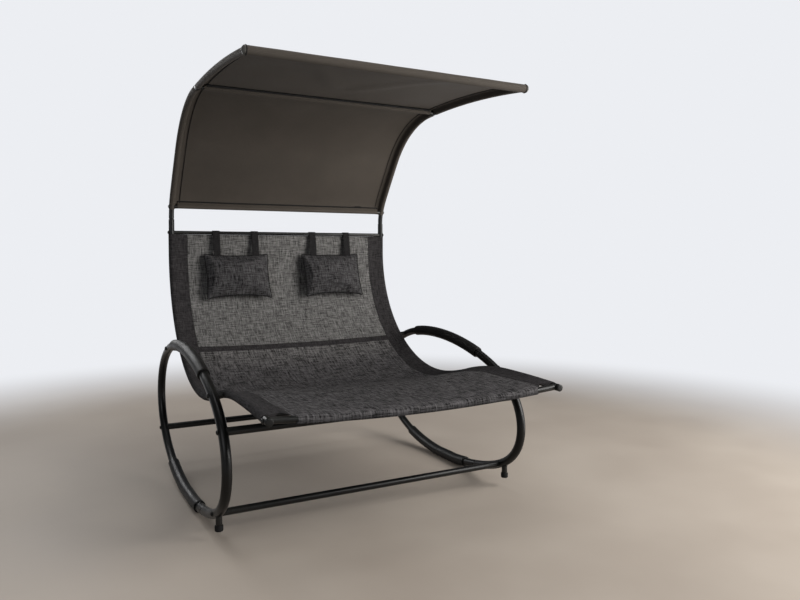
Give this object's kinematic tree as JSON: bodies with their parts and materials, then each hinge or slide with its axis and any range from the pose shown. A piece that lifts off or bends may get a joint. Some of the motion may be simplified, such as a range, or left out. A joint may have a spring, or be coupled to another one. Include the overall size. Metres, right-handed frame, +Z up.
{
  "type": "rocking lounger with canopy",
  "caption": "Wide rocking lounger: sling seat and back on oval rocker hoops, with a curved lift-off sun canopy and strapped head pillows.",
  "frame": {"origin": "middle of the footprint, on the floor", "axes": "+Z up, -Y is the front where the feet go, +X is the right-hand side seen from the front"},
  "size_m": [1.3622, 1.6279, 1.8138],
  "materials": {
    "black_tube": "satin black powder coat on steel tube",
    "armrest_foam": "smooth dark grip sleeve",
    "black_plastic": "moulded black plastic, lightly scuffed",
    "rubber": "matte black rubber",
    "bolt_steel": "black-plated button-head bolts",
    "sling_mesh": "woven coated mesh, grey with darker side bands",
    "canopy_cloth": "plain-woven dark taupe polyester",
    "pillow_cloth": "dark grey melange weave",
    "strap_webbing": "charcoal woven webbing"
  },
  "bodies": {
    "frame": {"armrest_sleeve_left": "armrest_foam", "armrest_sleeve_right": "armrest_foam", "floor_sleeve_left": "black_plastic", "floor_sleeve_right": "black_plastic", "front_joint_bolt_left": "bolt_steel", "front_joint_bolt_right": "bolt_steel", "front_joint_spacer_left": "black_plastic", "front_joint_spacer_right": "black_plastic", "hoop_front_left": "black_tube", "hoop_front_right": "black_tube", "hoop_rear_left": "black_tube", "hoop_rear_right": "black_tube", "low_bar": "black_tube", "low_bar_bolt_left": "bolt_steel", "low_bar_bolt_right": "bolt_steel", "mid_bar": "black_tube", "mid_bar_bolt_left": "bolt_steel", "mid_bar_bolt_right": "bolt_steel", "rail_cap_left": "black_plastic", "rail_cap_right": "black_plastic", "rear_bar": "black_tube", "rear_bar_bolt_left": "bolt_steel", "rear_bar_bolt_right": "bolt_steel", "rear_joint_bolt_left": "bolt_steel", "rear_joint_bolt_right": "bolt_steel", "rear_joint_spacer_left": "black_plastic", "rear_joint_spacer_right": "black_plastic", "sling_fabric": "sling_mesh", "sling_front_bar": "black_tube", "sling_front_bar_bolt_left": "bolt_steel", "sling_front_bar_bolt_right": "bolt_steel", "sling_rail_left": "black_tube", "sling_rail_right": "black_tube", "sling_top_bar": "black_tube", "sling_top_bar_bolt_left": "bolt_steel", "sling_top_bar_bolt_right": "bolt_steel", "stop_post_left": "black_tube", "stop_post_right": "black_tube", "stop_tip_left": "rubber", "stop_tip_right": "rubber"},
    "canopy": {"canopy_fabric": "canopy_cloth", "canopy_front_bar": "black_tube", "canopy_low_bar": "black_tube", "canopy_low_bar_bolt_left": "bolt_steel", "canopy_low_bar_bolt_right": "bolt_steel", "canopy_mid_bar": "black_tube", "canopy_plug_left": "black_plastic", "canopy_plug_right": "black_plastic", "canopy_rail_left": "black_tube", "canopy_rail_right": "black_tube"},
    "strap_loops_left": {"strap_loop_left_1": "strap_webbing", "strap_loop_left_2": "strap_webbing"},
    "pillow_left": {"pillow_left": "pillow_cloth", "strap_left_1": "strap_webbing", "strap_left_2": "strap_webbing"},
    "strap_loops_right": {"strap_loop_right_1": "strap_webbing", "strap_loop_right_2": "strap_webbing"},
    "pillow_right": {"pillow_right": "pillow_cloth", "strap_right_1": "strap_webbing", "strap_right_2": "strap_webbing"}
  },
  "joints": [
    {"name": "canopy_lift", "type": "slide", "parent": "frame", "child": "canopy", "axis": [0, 0, 1], "range_m": [0, 0.12]},
    {"name": "pillow_slide_left", "type": "slide", "parent": "frame", "child": "strap_loops_left", "axis": [1, 0, 0], "range_m": [-0.13, 0.085]},
    {"name": "pillow_swing_left", "type": "hinge", "parent": "strap_loops_left", "child": "pillow_left", "pos_m": [-0.27, 0.7767, 1.1811], "axis": [-1, 0, 0], "range_deg": [0, 120]},
    {"name": "pillow_slide_right", "type": "slide", "parent": "frame", "child": "strap_loops_right", "axis": [1, 0, 0], "range_m": [-0.085, 0.13]},
    {"name": "pillow_swing_right", "type": "hinge", "parent": "strap_loops_right", "child": "pillow_right", "pos_m": [0.27, 0.7767, 1.1811], "axis": [-1, 0, 0], "range_deg": [0, 120]}
  ]
}
